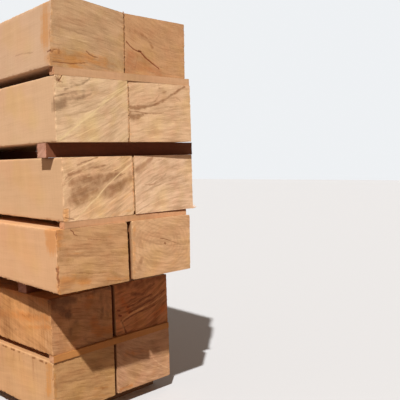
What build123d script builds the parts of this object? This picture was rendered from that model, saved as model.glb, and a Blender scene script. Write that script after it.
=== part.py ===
"""Stack of sawn timber: three bundles of heavy square-sawn beams, one bundle on another.

Each bundle is two beams wide and two layers high, with thin stickers between its layers.
Bearers part the bundles and carry the lowest one, so that forks can pass under each.
Millimetres. Y runs along the beams, away from their front ends, X across them, Z up from the ground.
"""
from build123d import *
from dataclasses import dataclass
from math import radians, tan
import os

# Beams
beam_length = 4000
beam_width = 440
beam_height = 330
top_beam_width = 430
top_beam_height = 320
arris_wear = 3

# How much wider than the rest these beams were sawn
beam_3_right_extra = -9
beam_4_left_extra = 10
beam_6_right_extra = 11

# The top left beam follows its log: the upper face is crowned and the left side flares out below
crown_rise = 28
crown_from_left = 155
flare = 20

# Stickers lie across the beams, between the two layers of a bundle
sticker_depth = 45
bottom_sticker_height = 40
middle_sticker_height = 35
top_sticker_height = 40
sticker_back_inset = 25
stickers_in_bundle = 3

# Bearers lie across the beams, between two bundles
bearer_depth = 95
lower_bearer_height = 110
upper_bearer_height = 75
lower_bearer_setback = 643
upper_bearer_setback = 104
lower_bearer_overhang = 0
upper_bearer_overhang = 43
bearers_in_row = 3

# Bearers on the ground
ground_bearer_depth = 120
ground_bearer_height = 100
ground_bearer_setback = 150
ground_bearer_inset = 15
ground_bearers = 3

# How far each bundle is turned on the ground plan, in degrees, and the point that it turns about
bottom_turn = 2.3
middle_turn = -1.6
top_turn = -2.1
turning_point = 330

# Front ends of the bundles
bottom_front = 0
middle_front = -390
top_front = -422

# Left side of each layer, and the gap between its two beams
layer_1_left = 0
layer_1_gap = 26
layer_2_left = 0
layer_2_gap = 30
layer_3_left = -142
layer_3_gap = 38
layer_4_left = -91
layer_4_gap = 17
layer_5_left = -126
layer_5_gap = 8
layer_6_left = -126
layer_6_gap = 9


@dataclass
class Layer:
    """Two beams side by side in a bundle's frame."""
    number: int
    frame: Plane
    base: float
    left: float
    gap: float
    width: float = beam_width
    height: float = beam_height
    left_extra: float = 0
    right_extra: float = 0

    @property
    def top(self):
        return self.base + self.height

    @property
    def right(self):
        return self.beam_left("right") + self.beam_width("right")

    def beam_left(self, side):
        return self.left if side == "left" else self.left + self.beam_width("left") + self.gap

    def beam_width(self, side):
        return self.width + (self.left_extra if side == "left" else self.right_extra)


def bundle_frame(turn):
    """The ground plane, turned about the turning point, with the origin kept at the stack's left side."""
    pivot = Plane((turning_point, 0, 0)).rotated((0, 0, turn))
    return Plane(pivot.from_local_coords((-turning_point, 0, 0)), x_dir=pivot.x_dir, z_dir=pivot.z_dir)


def plain_section(width, height):
    return [(0, 0), (width, 0), (width, height), (0, height)]


def crowned_section(width, height):
    """The section of the beam that was sawn close to the outside of its log."""
    crown = (crown_from_left, height + crown_rise)
    return [(-flare, 0), (width, 0), (width, height), crown, (0, height)]


def sawn_beam(layer, side, front, lean, slew, section):
    """A beam whose front end was cut a little out of square.

    lean is how many degrees the top of the end is set back, and slew its right edge.
    """
    frame = layer.frame
    left, width = layer.beam_left(side), layer.beam_width(side)
    back = frame.from_local_coords((left, front + beam_length, layer.base))
    middle = frame.from_local_coords((left + width / 2, front, layer.base + layer.height / 2))
    into_beam = frame.y_dir - frame.x_dir * tan(radians(slew)) - frame.z_dir * tan(radians(lean))
    with BuildPart() as beam:
        with BuildSketch(Plane(back, x_dir=frame.x_dir, z_dir=-frame.y_dir)) as outline:
            with BuildLine():
                Polyline(*section(width, layer.height), close=True)
            make_face()
            chamfer(outline.vertices(), length=arris_wear)
        extrude(amount=beam_length + width / 2)
        split(bisect_by=Plane(middle, z_dir=into_beam), keep=Keep.TOP)
    beam.part.label = f"beam_{layer.number}_{side}"
    return beam.part


def cross_piece(label, frame, left, right, front, depth, base, height, skew=0):
    """A straight piece laid across the beams, turned about its left front corner by skew degrees."""
    corner = Plane(frame.from_local_coords((left, front, base)), x_dir=frame.x_dir, z_dir=frame.z_dir)
    with BuildPart() as piece:
        with BuildSketch(corner.rotated((0, 0, skew))):
            Rectangle(right - left, depth, align=(Align.MIN, Align.MIN))
        extrude(amount=height)
    piece.part.label = label
    return piece.part


def spread(first, back_end, depth, count):
    """Front faces of a row of cross pieces, from the first one to one whose back face is at back_end."""
    spacing = (back_end - depth - first) / (count - 1)
    return [first + place * spacing for place in range(count)]


def sticker_row(name, lower, upper, bundle_front, front, skew, height):
    """Stickers between two layers: flush with the front ends, at mid length, and near the back ends."""
    left = max(lower.left, upper.left)
    fronts = spread(front, bundle_front + beam_length - sticker_back_inset, sticker_depth, stickers_in_bundle)
    for count, own_front in enumerate(fronts, 1):
        own_skew = skew if count == 1 else 0
        yield cross_piece(f"{name}_sticker_{count}", lower.frame, left, lower.right, own_front,
                          sticker_depth, lower.top, height, own_skew)


def bearer_row(name, below, overhang, bundle_front, setback, height):
    """Bearers on one bundle, set back alike from both ends of the bundle that they carry."""
    fronts = spread(bundle_front + setback, bundle_front + beam_length - setback, bearer_depth, bearers_in_row)
    for count, front in enumerate(fronts, 1):
        yield cross_piece(f"{name}_bearer_{count}", below.frame, below.left - overhang,
                          below.right + overhang, front, bearer_depth, below.top, height)


def ground_row(carried, bundle_front):
    """Bearers on the ground under the lowest layer."""
    fronts = spread(bundle_front + ground_bearer_setback, bundle_front + beam_length - ground_bearer_setback,
                    ground_bearer_depth, ground_bearers)
    for count, front in enumerate(fronts, 1):
        yield cross_piece(f"ground_bearer_{count}", carried.frame, carried.left + ground_bearer_inset,
                          carried.right - ground_bearer_inset, front, ground_bearer_depth, 0,
                          ground_bearer_height)


# Frames and layers, from the ground up
bottom = bundle_frame(bottom_turn)
middle = bundle_frame(middle_turn)
top = bundle_frame(top_turn)

layer_1 = Layer(1, bottom, ground_bearer_height, layer_1_left, layer_1_gap)
layer_2 = Layer(2, bottom, layer_1.top + bottom_sticker_height, layer_2_left, layer_2_gap)
layer_3 = Layer(3, middle, layer_2.top + lower_bearer_height, layer_3_left, layer_3_gap,
                right_extra=beam_3_right_extra)
layer_4 = Layer(4, middle, layer_3.top + middle_sticker_height, layer_4_left, layer_4_gap,
                left_extra=beam_4_left_extra)
layer_5 = Layer(5, top, layer_4.top + upper_bearer_height, layer_5_left, layer_5_gap)
layer_6 = Layer(6, top, layer_5.top + top_sticker_height, layer_6_left, layer_6_gap,
                top_beam_width, top_beam_height, right_extra=beam_6_right_extra)

# Each beam: how far its front end stands back from its bundle's, and how that end was cut
beam_ends = [
    (layer_1, "left", bottom_front - 3, -1, -0.1),
    (layer_1, "right", bottom_front - 2, -0.5, -2.1),
    (layer_2, "left", bottom_front - 3, -0.5, 0.9),
    (layer_2, "right", bottom_front + 3, 0, -1.1),
    (layer_3, "left", middle_front - 5, 0.5, 0.7),
    (layer_3, "right", middle_front + 8, -1.5, 0.7),
    (layer_4, "left", middle_front + 6, 0, 2.4),
    (layer_4, "right", middle_front + 24, 0, 1.2),
    (layer_5, "left", top_front - 2, -1.8, 0.7),
    (layer_5, "right", top_front, 0, -0.7),
    (layer_6, "left", top_front - 2, -1.9, 2),
    (layer_6, "right", top_front + 18, -1.4, 2.5),
]

pieces = []
for layer, side, front, lean, slew in beam_ends:
    crowned = layer is layer_6 and side == "left"
    section = crowned_section if crowned else plain_section
    pieces.append(sawn_beam(layer, side, front, lean, slew, section))

# Front faces of the front stickers, from the ends that they are flush with
pieces += sticker_row("bottom", layer_1, layer_2, bottom_front, bottom_front - 14, 0, bottom_sticker_height)
pieces += sticker_row("middle", layer_3, layer_4, middle_front, middle_front - 5, 2.8, middle_sticker_height)
pieces += sticker_row("top", layer_5, layer_6, top_front, top_front - 8, 0.7, top_sticker_height)

pieces += bearer_row("lower", layer_2, lower_bearer_overhang, middle_front, lower_bearer_setback,
                     lower_bearer_height)
pieces += bearer_row("upper", layer_4, upper_bearer_overhang, top_front, upper_bearer_setback,
                     upper_bearer_height)
pieces += ground_row(layer_1, bottom_front)

# The origin goes to the middle of the stack's footprint, on the ground
boxes = [piece.bounding_box() for piece in pieces]
middle_x = (min(box.min.X for box in boxes) + max(box.max.X for box in boxes)) / 2
middle_y = (min(box.min.Y for box in boxes) + max(box.max.Y for box in boxes)) / 2

os.makedirs("parts", exist_ok=True)
for piece in pieces:
    placed = piece.moved(Location((-middle_x, -middle_y, 0)))
    placed.label = piece.label
    export_step(placed, f"parts/{placed.label}.step")
print(f"Origin at x {middle_x:.3f}, y {middle_y:.3f} of the stack's own datum; {len(pieces)} pieces")
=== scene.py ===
import bmesh
import bpy
import numpy as np
import random
from math import ceil, cos, radians, sin
from mathutils import Matrix, Vector, noise


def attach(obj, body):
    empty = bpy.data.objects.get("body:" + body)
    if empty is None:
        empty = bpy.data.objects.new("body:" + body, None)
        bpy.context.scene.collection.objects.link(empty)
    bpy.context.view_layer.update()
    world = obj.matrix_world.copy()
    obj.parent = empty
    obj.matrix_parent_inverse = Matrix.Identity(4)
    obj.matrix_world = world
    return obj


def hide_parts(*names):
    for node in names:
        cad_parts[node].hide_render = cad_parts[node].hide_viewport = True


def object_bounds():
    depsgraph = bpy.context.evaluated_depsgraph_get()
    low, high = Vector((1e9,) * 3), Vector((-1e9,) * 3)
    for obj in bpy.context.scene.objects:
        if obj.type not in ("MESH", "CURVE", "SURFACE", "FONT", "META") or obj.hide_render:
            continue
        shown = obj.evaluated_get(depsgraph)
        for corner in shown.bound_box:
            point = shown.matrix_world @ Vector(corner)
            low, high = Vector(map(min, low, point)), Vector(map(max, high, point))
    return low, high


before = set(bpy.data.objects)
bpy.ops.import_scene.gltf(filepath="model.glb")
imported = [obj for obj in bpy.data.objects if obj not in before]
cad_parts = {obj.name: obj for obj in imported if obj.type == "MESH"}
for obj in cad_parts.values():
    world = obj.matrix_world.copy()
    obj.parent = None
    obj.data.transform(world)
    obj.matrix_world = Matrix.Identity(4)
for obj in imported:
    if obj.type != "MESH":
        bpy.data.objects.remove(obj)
cadBox = [list(corner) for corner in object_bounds()]
print("frame loaded:", len(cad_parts), "pieces")

noise.seed_set(1)  # without a seed the marks would stray another way in each run
mm = 0.001
endMiddle = (0.22, 0, 0.165)  # the middle of a beam's end, where its grain turns
markLayers = ("stain", "warm", "ray", "darkMarksAndShade", "arris")  # what a mesh tells its material, 0 to 1 at each point


# small helpers for node trees

def paint(red, green, blue):  # screen colour, 0 to 255
    return [*(((part / 255 + 0.055) / 1.055) ** 2.4 for part in (red, green, blue)), 1]


def node(tree, kind, sockets=None, **settings):
    new = tree.nodes.new("ShaderNode" + kind)
    for key, value in settings.items():
        setattr(new, key, value)
    for key, value in (sockets or {}).items():
        if isinstance(value, bpy.types.NodeSocket):
            tree.links.new(value, new.inputs[key])
        else:
            new.inputs[key].default_value = value
    return new


def maths(tree, operation, first, second=0.0, third=0.0):
    return node(tree, "Math", {0: first, 1: second, 2: third}, operation=operation).outputs[0]


def weighted(tree, *parts):  # adds patterns up, each by its weight
    total = 0.0
    for pattern, weight in parts:
        total = maths(tree, "MULTIPLY_ADD", pattern, weight, total)
    return total


def stretch(tree, value, low, high, toLow=0.0, toHigh=1.0):
    return node(tree, "MapRange", {"Value": value, "From Min": low, "From Max": high,
                                   "To Min": toLow, "To Max": toHigh}).outputs[0]


def mixed(tree, amount, under, over, mode="MIX"):
    return node(tree, "Mix", {0: amount, 6: under, 7: over}, data_type="RGBA", blend_type=mode).outputs[2]


def ramp(tree, value, stops):
    made = node(tree, "ValToRGB", {"Fac": value})
    elements = made.color_ramp.elements
    while len(elements) < len(stops):
        elements.new(0.5)
    for element, (place, colour) in zip(elements, stops):
        element.position, element.color = place, colour
    return made.outputs[0]


def cloud(tree, place, scale, detail=2.0, roughness=0.5):  # noise spread over 0 to 1
    grey = node(tree, "TexNoise", {"Vector": place, "Scale": scale, "Detail": detail, "Roughness": roughness})
    return stretch(tree, grey.outputs[0], 0.3, 0.7)


def streaks(tree, place, scales, detail=3.0, turn=(0, 0, 0)):  # noise drawn out where a scale is small
    drawn = node(tree, "Mapping", {"Vector": place, "Rotation": turn})
    longer = node(tree, "Mapping", {"Vector": drawn.outputs[0], "Scale": scales})
    return cloud(tree, longer.outputs[0], 1.0, detail, 0.55)


def pieceCoordinates(tree, axes):  # metres from the piece's lowest corner, y along the piece
    place = node(tree, "TexCoord").outputs["Object"]
    return node(tree, "Mapping", {"Vector": place, "Location": axes.to_translation(),
                                  "Rotation": axes.to_euler()}, vector_type="TEXTURE").outputs[0]


def wandering(tree, place, scale, size):  # the same place, pushed about a little
    push = node(tree, "TexNoise", {"Vector": place, "Scale": scale, "Detail": 2.0}).outputs["Color"]
    centred = node(tree, "VectorMath", {0: push, 1: (0.5, 0.5, 0.5)}, operation="SUBTRACT").outputs[0]
    small = node(tree, "VectorMath", {0: centred, "Scale": size}, operation="SCALE").outputs[0]
    return node(tree, "VectorMath", {0: place, 1: small}, operation="ADD").outputs[0]


def toned(colour, amount):  # deeper and warmer below 0, paler above
    return [*(part * (1 + amount * weight) for part, weight in zip(colour, (0.85, 1.0, 1.15))), 1]


def tinted(tree, colour, tint, place, scale, start, most):  # a tint in clouds over part of the wood
    amount = stretch(tree, cloud(tree, place, scale, 2), start, 1.0, 0.0, most)
    return mixed(tree, amount, colour, tint, "MULTIPLY")


def shaded(tree, tone, low, colour, contrast, lift):  # the wood's colour, deeper and paler with the tone
    deep, pale = toned(colour, -contrast), toned(colour, lift * contrast)
    return ramp(tree, tone, [(low, deep), (0.5, colour), (1 - low, pale)])


def markings(tree, colour, look, grain):  # the mesh's marks over a wood colour, broken up by its grain
    missing = maths(tree, "SUBTRACT", 1.0, grain)

    def feathered(name, gain, loss, most):
        layer = node(tree, "Attribute", attribute_name=name).outputs["Fac"]
        thinned = maths(tree, "MULTIPLY", missing, loss)
        left = maths(tree, "SUBTRACT", maths(tree, "MULTIPLY", layer, gain), thinned)
        return stretch(tree, left, 0.0, 1.0, 0.0, most)

    colour = mixed(tree, feathered("warm", 1.5, 1.0, 1.0), colour, look["warm"], "MULTIPLY")
    colour = mixed(tree, feathered("stain", 1.6, 1.15, 1.0), colour, look["stain"], "MULTIPLY")
    colour = mixed(tree, feathered("ray", 1.2, 0.8, 0.8), colour, look["ray"])
    # veins, gouges and cracks darken the wood here, and so does the painted shade on the faces in the gaps
    # between beams
    colour = mixed(tree, feathered("darkMarksAndShade", 1.2, 0.3, 0.92), colour, look["darkMarksAndShade"])
    return mixed(tree, feathered("arris", 0.7, 0.5, 0.35), colour, look["worn"])


def newWood(name):
    material = bpy.data.materials.new(name)
    material.use_nodes = True
    shader = material.node_tree.nodes["Principled BSDF"]
    shader.inputs["Specular IOR Level"].default_value = 0.25
    return material, material.node_tree, shader


def relief(tree, shader, height, depth):  # fine unevenness, up to a depth in metres
    bump = node(tree, "Bump", {"Height": height, "Distance": depth, "Strength": 1.0})
    tree.links.new(bump.outputs[0], shader.inputs["Normal"])


def seenDirectly(tree):  # 1 for what the camera, a mirror or glass sees, 0 for light on its way to the wood
    rays = node(tree, "LightPath").outputs
    mirrored = maths(tree, "MAXIMUM", rays["Is Camera Ray"], rays["Is Glossy Ray"])
    return maths(tree, "MAXIMUM", mirrored, rays["Is Transmission Ray"])


def yearRings(tree, place, rings):  # uneven rings round a pith at x and z, darker by the amount
    uneven = wandering(tree, place, 14, 0.022)
    centred = node(tree, "Mapping", {"Vector": uneven, "Location": (rings["x"] * mm, 0, rings["z"] * mm),
                                     "Scale": (1, 40, rings["squash"])}, vector_type="TEXTURE").outputs[0]
    ringScale = 0.314 / (rings["spacing"] * mm)
    wave = node(tree, "TexWave", {"Vector": centred, "Scale": ringScale, "Distortion": 6.0, "Detail": 4.0,
                                  "Detail Scale": 1.1}, wave_type="RINGS", rings_direction="Y")
    return stretch(tree, wave.outputs["Fac"], 0.0, 1.0, 1 - rings["amount"], 1.0)


# How fine each pattern runs across, along and up the piece: a larger number is finer
endPattern = {"fibres": (14, 3, 190), "lines": (8, 2, 62), "bands": (3.5, 1, 24), "chain": (130, 2, 5),
              "blotches": 8, "pores": 900, "relief": 0.9 * mm}
facePattern = {"grain": (22, 1.6, 22), "fibres": (150, 6, 150), "sawLines": (2.5, 170, 2.5),
               "washboard": (1.2, 40, 1.2), "blotches": 4, "relief": 0.6 * mm}


# Cut ends: streaks of growth that bend and fan out over the end, with pores and the chain's own marks
def endGrain(name, axes, look):
    material, tree, shader = newWood(name)
    place = pieceCoordinates(tree, axes)
    grain = look["grain"]
    uneven = wandering(tree, wandering(tree, place, 9, 0.02), 42, 0.006)
    turned = node(tree, "Mapping", {"Vector": uneven, "Location": endMiddle,
                                    "Rotation": (0, -radians(grain["angle"]), 0)}, vector_type="TEXTURE")
    across, along, up = node(tree, "SeparateXYZ", {0: turned.outputs[0]}).outputs
    bowed = maths(tree, "MULTIPLY_ADD", maths(tree, "MULTIPLY", across, across), grain["bend"], up)
    fanned = maths(tree, "MULTIPLY", bowed, maths(tree, "MULTIPLY_ADD", across, grain["fan"], 1.0))
    flow = node(tree, "CombineXYZ", {0: across, 1: along, 2: fanned}).outputs[0]
    fibres = streaks(tree, flow, endPattern["fibres"], 2)
    lines = streaks(tree, flow, endPattern["lines"], 4)
    bands = streaks(tree, flow, endPattern["bands"], 3)
    blotches = cloud(tree, place, endPattern["blotches"], 3)
    pores = cloud(tree, place, endPattern["pores"], 1)
    chain = streaks(tree, place, endPattern["chain"], 2, (0, radians(look["chainLean"]), 0))
    tone = weighted(tree, (bands, 0.2), (lines, 0.46), (fibres, 0.14), (blotches, 0.2))
    if "rings" in look:
        tone = maths(tree, "MULTIPLY", tone, yearRings(tree, place, look["rings"]))
    colour = shaded(tree, tone, 0.28, look["wood"], look["contrast"], 0.7)
    colour = tinted(tree, colour, look["pinkish"], place, 11, 0.4, 0.8)
    colour = tinted(tree, colour, look["yellowish"], flow, 8, 0.5, 0.8)
    sawn = stretch(tree, chain, 0.3, 1.0, 0.0, look["chain"])
    colour = mixed(tree, sawn, colour, toned(look["wood"], -0.5))
    colour = mixed(tree, stretch(tree, pores, 0.55, 1.0, 0.0, 0.28), colour, toned(look["wood"], -0.45))
    streaky = weighted(tree, (fibres, 0.15), (lines, 0.45), (cloud(tree, flow, 24, 4), 0.4))
    colour = markings(tree, colour, look, stretch(tree, streaky, 0.22, 0.78))
    tree.links.new(colour, shader.inputs["Base Color"])
    tree.links.new(stretch(tree, fibres, 0.0, 1.0, 0.92, 0.74), shader.inputs["Roughness"])
    height = weighted(tree, (fibres, 0.5), (pores, 0.25), (lines, 0.7), (chain, 0.5))
    relief(tree, shader, height, endPattern["relief"])
    return material


# Long faces: grain along the piece, crossed by the band saw's fine lines and a slower washboard
def sawnFace(name, axes, look):
    material, tree, shader = newWood(name)
    place = wandering(tree, pieceCoordinates(tree, axes), 4, 0.02)
    slope, sawLean = radians(look["slope"]), radians(look["sawLean"])
    grain = streaks(tree, place, facePattern["grain"], 4, (slope, 0, slope * 0.6))
    fibres = streaks(tree, place, facePattern["fibres"], 2, (slope, 0, 0))
    sawLines = streaks(tree, place, facePattern["sawLines"], 3, (sawLean, 0, radians(2)))
    washboard = streaks(tree, place, facePattern["washboard"], 2, (sawLean, 0, radians(2)))
    blotches = cloud(tree, place, facePattern["blotches"], 4)
    tone = weighted(tree, (grain, 0.26), (blotches, 0.36), (washboard, 0.1), (sawLines, look["saw"]),
                    (fibres, 0.12))
    colour = shaded(tree, tone, 0.22, look["side"], look["sideContrast"], 0.8)
    colour = tinted(tree, colour, look["pinkish"], place, 2.3, 0.5, 0.8)
    colour = tinted(tree, colour, look["yellowish"], place, 3.1, 0.6, 0.7)
    streaky = weighted(tree, (sawLines, 0.5), (grain, 0.5))
    colour = markings(tree, colour, look, stretch(tree, streaky, 0.25, 0.75))
    tree.links.new(colour, shader.inputs["Base Color"])
    tree.links.new(stretch(tree, grain, 0.0, 1.0, 0.9, 0.72), shader.inputs["Roughness"])
    height = weighted(tree, (fibres, 0.35), (sawLines, 0.5), (washboard, 0.5))
    relief(tree, shader, height, facePattern["relief"])
    return material


# small helpers for meshes

# A piece's own axes: y along it, z up, and the origin at its lowest corner on every axis
def ownAxes(bm, towards):
    edge = max(bm.edges, key=lambda e: e.calc_length())
    along, up = (edge.verts[1].co - edge.verts[0].co).normalized(), Vector((0, 0, 1))
    if along.dot(towards) < 0:
        along.negate()
    turned = Matrix((along.cross(up), along, up)).transposed()
    inside = [turned.inverted() @ v.co for v in bm.verts]
    corner = turned @ Vector([min(place[i] for place in inside) for i in range(3)])
    return Matrix.Translation(corner) @ turned.to_4x4()


def cutAcross(bm, axis, places, geom=None):
    geom = geom or [*bm.verts, *bm.edges, *bm.faces]
    facing = Vector([float(i == axis) for i in range(3)])
    for place in places:
        cut = bmesh.ops.bisect_plane(bm, geom=geom, dist=1e-6, plane_co=facing * place, plane_no=facing)
        geom = cut["geom"]
    return geom


def lengthways(bm, low, high):  # edges that run along the piece between two depths
    found = []
    for edge in bm.edges:
        a, b = edge.verts[0].co, edge.verts[1].co
        inside = min(a.y, b.y) > low - 1e-5 and max(a.y, b.y) < high + 1e-5
        if inside and abs(a.y - b.y) > 0.7 * (a - b).length:
            found.append(edge)
    return found


def splitRows(bm, low, high, spacing):
    cutAcross(bm, 1, (low, high))
    cuts = max(1, round((high - low) / spacing) - 1)
    bmesh.ops.subdivide_edges(bm, edges=lengthways(bm, low, high), cuts=cuts, use_grid_fill=True)


def columnPlaces(size, margins, spacing):  # close together at both borders
    inner = size - 2 * margins[-1]
    count = max(1, round(inner / spacing))
    middle = [margins[-1] + inner * i / count for i in range(1, count)]
    return sorted([*margins, *middle, *(size - m for m in margins)])


def between(places, size, spacing):  # further places that fill the gaps
    rim, first = 3 * mm, 4.5 * mm
    edges = [rim, *[p for p in places if first < p < size - first], size - rim]
    added = []
    for low, high in zip(edges, edges[1:]):
        count = ceil((high - low) / spacing)
        added += [low + (high - low) * i / count for i in range(1, count)]
    return added


def geometryOf(faces):
    edges = {e for f in faces for e in f.edges}
    corners = {v for f in faces for v in f.verts}
    return [*corners, *edges, *faces]


def cutUp(bm, size, cuts):  # the ends in rows and the whole piece in columns, close together at its arrises
    end, rows = cuts["endDepth"], cuts["endRows"]
    for low, high in ((0, end), (size.y - end, size.y)):
        bmesh.ops.subdivide_edges(bm, edges=lengthways(bm, low, high), cuts=rows, use_grid_fill=True)
    xs, zs = (columnPlaces(width, cuts["margins"], cuts["columns"]) for width in (size.x, size.z))
    cutAcross(bm, 0, xs)
    cutAcross(bm, 2, zs)
    return xs, zs


def fineEnd(bm, low, high, xs, zs, size, spacing):
    faces = [f for f in bm.faces if low < f.calc_center_median().y < high]
    geom = cutAcross(bm, 0, between(xs, size.x, spacing), geometryOf(faces))
    cutAcross(bm, 2, between(zs, size.z, spacing), geom)


def fineSide(bm, low, high, zs, size, spacing):
    faces = [f for f in bm.faces if f.normal.x < -0.8 and low < f.calc_center_median().y < high]
    cutAcross(bm, 2, between(zs, size.z, spacing), geometryOf(faces))


def nearestOf(points, segments):
    nearest = np.full(len(points), 9.0)
    for a, b in segments:
        a, run = np.array(a), np.array(b) - np.array(a)
        share = np.clip((points - a) @ run / max(run @ run, 1e-12), 0, 1)
        nearest = np.minimum(nearest, np.linalg.norm(points - a - share[:, None] * run, axis=1))
    return nearest


def fadeOf(points, path, startWidth, endWidth, soft):  # 1 on the path, 0 a width away
    lengths = [(b - a).length for a, b in zip(path, path[1:])] or [1e-6]
    total, before, fade = sum(lengths), 0.0, np.zeros(len(points))
    for a, b, length in zip(path, path[1:] or path, lengths):
        a, run = np.array(a), np.array(b) - np.array(a)
        share = np.clip((points - a) @ run / max(run @ run, 1e-12), 0, 1)
        width = startWidth + (endWidth - startWidth) * (before + share * length) / total
        far = np.linalg.norm(points - a - share[:, None] * run, axis=1)
        fade = np.maximum(fade, np.clip((width - far) / (soft * width), 0, 1))
        before += length
    return fade * fade * (3 - 2 * fade)


def placedMarks(look, frontAt, sideX):  # the look's marks as paths in the piece's own metres
    placed = []
    for kind, strokes in look.get("endMarks", {}).items():
        for strength, start, end, path in strokes:
            points = [Vector((x * mm, frontAt(x * mm, z * mm), z * mm)) for x, z in path]
            placed.append((kind, strength, start * mm, end * mm, points))
    for kind, strokes in look.get("sideMarks", {}).items():
        for strength, start, end, path in strokes:
            points = [Vector((sideX, frontAt(sideX, z * mm) + y * mm, z * mm)) for y, z in path]
            placed.append((kind, strength, start * mm, end * mm, points))
    return placed


markDepths = {"crack": 6 * mm, "gouge": 3 * mm, "vein": 0.6 * mm}  # these cut in, and darken the wood too
steadyMarks = {"crack": 0.2, "gouge": 0.3, "vein": 0.25, "ray": 0.3}  # how far each strays, where 1 is 10 mm


def refine(bm, marks):  # smaller faces along the gouges
    small, margin = 2e-4, 2 * mm
    for kind, strength, start, end, path in marks:
        if kind != "gouge":
            continue
        faces = [f for f in bm.faces if f.calc_area() < small]
        centres = np.array([f.calc_center_median() for f in faces])
        far = nearestOf(centres, zip(path, path[1:] or path))
        near = {e for f, d in zip(faces, far) if d < max(start, end) + margin for e in f.edges}
        bmesh.ops.subdivide_edges(bm, edges=list(near), cuts=1, use_grid_fill=True)


def roughness(bm, scale, seed):  # noise at each point, about -1 to 1
    return np.array([noise.noise(v.co * scale + seed) for v in bm.verts])


def drift(bm, scale, seed, size):  # the same in all three directions, in metres
    return np.array([noise.noise_vector(v.co * scale + seed) * size for v in bm.verts])


# How much of the wear an arris takes where it keeps sharper than the rest
arrisShare = {"acrossEnd": 0.25, "leftOfSeam": 0.3, "rightOfSeam": 0.7, "rightHalf": 0.45}
arrisReach = 12 * mm


# Wears a cut-up mesh: uneven faces, ragged arrises, grooves and hollows, and the marks for its material
def weather(bm, look, sharp, size, marks):
    bm.normal_update()
    bm.verts.ensure_lookup_table()
    points = np.array([v.co for v in bm.verts])
    seed = Vector((look["seed"] * 3.7, look["seed"] * 1.3, 0))
    swell, chips, nibbles = (roughness(bm, scale, seed) for scale in (8, 55, 160))
    wobble = drift(bm, 22, seed, 7 * mm) + drift(bm, 90, seed, 2.5 * mm)
    nearArris = nearestOf(points, sharp)
    atArris = np.clip(1 - nearArris / arrisReach, 0, 1)
    across = [(a, b) for a, b in sharp if abs(b.x - a.x) > 0.8 * (b - a).length]
    fromMiddle = points[:, 0] - size.x / 2
    towardsNeighbour = fromMiddle * look["neighbour"]
    atSeam = arrisShare["leftOfSeam" if look["neighbour"] > 0 else "rightOfSeam"]
    share = np.where(nearestOf(points, across) < nearArris + 1e-4, arrisShare["acrossEnd"], 1.0)
    share = np.where(towardsNeighbour > 0, np.minimum(share, atSeam), share)
    share = np.where(fromMiddle > 0, np.minimum(share, arrisShare["rightHalf"]), share)
    ragged = np.clip(0.35 + 1.1 * chips, 0, 1) ** 2 + 0.35 * np.clip(0.3 + nibbles, 0, 1)
    inward = 0.9 * mm * (0.5 + 0.5 * swell)
    inward += share * look["wear"] * mm * atArris ** 2 * (0.12 + ragged)
    layers = {name: np.zeros(len(points)) for name in markLayers}
    layers["arris"] = share * atArris * (0.5 + 0.5 * np.clip(ragged, 0, 1))
    inside = towardsNeighbour > size.x / 2 - 1e-4  # the face toward the neighbour beam, painted darker below: painted shade for the gap between the beams
    # painted shade on that face, rising over the first 30 mm in from either end and full further in
    deep = np.clip(np.minimum(points[:, 1], size.y - points[:, 1]) / (30 * mm) - 0.2, 0, 1)
    layers["darkMarksAndShade"] = np.where(inside, look["inner"] * deep, 0.0)
    layers["stain"] = np.where(points[:, 2] > size.z - 1e-4, 0.5, 0.0)  # tops weather first
    for kind, strength, start, end, path in marks:
        stray = steadyMarks.get(kind, min(1.3, 0.4 + 25 * max(start, end)))  # wide stains stray most
        soft = 0.95 if kind in ("stain", "warm") else 0.6
        fade = strength * fadeOf(points + stray * wobble, path, start, end, soft)
        inward += markDepths.get(kind, 0.0) * fade
        name = "darkMarksAndShade" if kind in markDepths else kind
        layers[name] = np.maximum(layers[name], fade)
    stored = {name: bm.verts.layers.float.new(name) for name in markLayers}
    for i, v in enumerate(bm.verts):
        v.co -= v.normal * inward[i]
        for name in markLayers:
            v[stored[name]] = layers[name][i]


def standing(foot, lean, share):  # a spike's own place, its middle a share of its length up the lean
    return Matrix.Translation(foot + lean * share) @ lean.to_track_quat("Z", "Y").to_matrix().to_4x4()


# Torn fibres that stand off the arrises, thin four-sided spikes. A spot is an arris from a to b, the way
# off it, the material, how many spikes, the longest, how far they spread and how thick they are.
def splinters(bm, look, spots):
    pick = random.Random(look["seed"])
    warm = bm.verts.layers.float["warm"]
    for a, b, away, material, count, longest, spread, thick in spots:
        for _ in range(count):
            share, length = pick.uniform(0.06, 0.94), pick.uniform(0.25, 1) * longest
            along = (b - a).normalized() * (-1 if share > 0.85 else pick.choice((-1, 1)))
            lean = (along + away * pick.uniform(0.1 * spread, spread)).normalized() * length
            radius = pick.uniform(0.6, 1.5) * thick * mm
            made = bmesh.ops.create_cone(bm, cap_ends=True, segments=4, radius1=radius, radius2=0.1 * mm,
                                         depth=length, matrix=standing(a.lerp(b, share), lean, 0.3))
            for face in {f for v in made["verts"] for f in v.link_faces}:
                face.material_index = material
            for v in made["verts"]:
                v[warm] = pick.uniform(0.2, 0.9)


def finishPiece(bm, name, axes, look):
    bmesh.ops.transform(bm, matrix=axes, verts=bm.verts)
    low, high = cadBox
    for v in bm.verts:  # nothing leaves the CAD box
        v.co = [min(max(v.co[i], low[i]), high[i]) for i in range(3)]
    mesh = bpy.data.meshes.new(name + "_wood")
    bm.to_mesh(mesh)
    bm.free()
    mesh.materials.append(endGrain(name + "_ends", axes, look))
    mesh.materials.append(sawnFace(name + "_faces", axes, look))
    mesh.shade_smooth()
    mesh.set_sharp_from_angle(angle=radians(38))
    piece = bpy.data.objects.new(name + "_wood", mesh)
    bpy.context.scene.collection.objects.link(piece)
    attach(piece, "root")
    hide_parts(name)
    return piece


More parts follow.
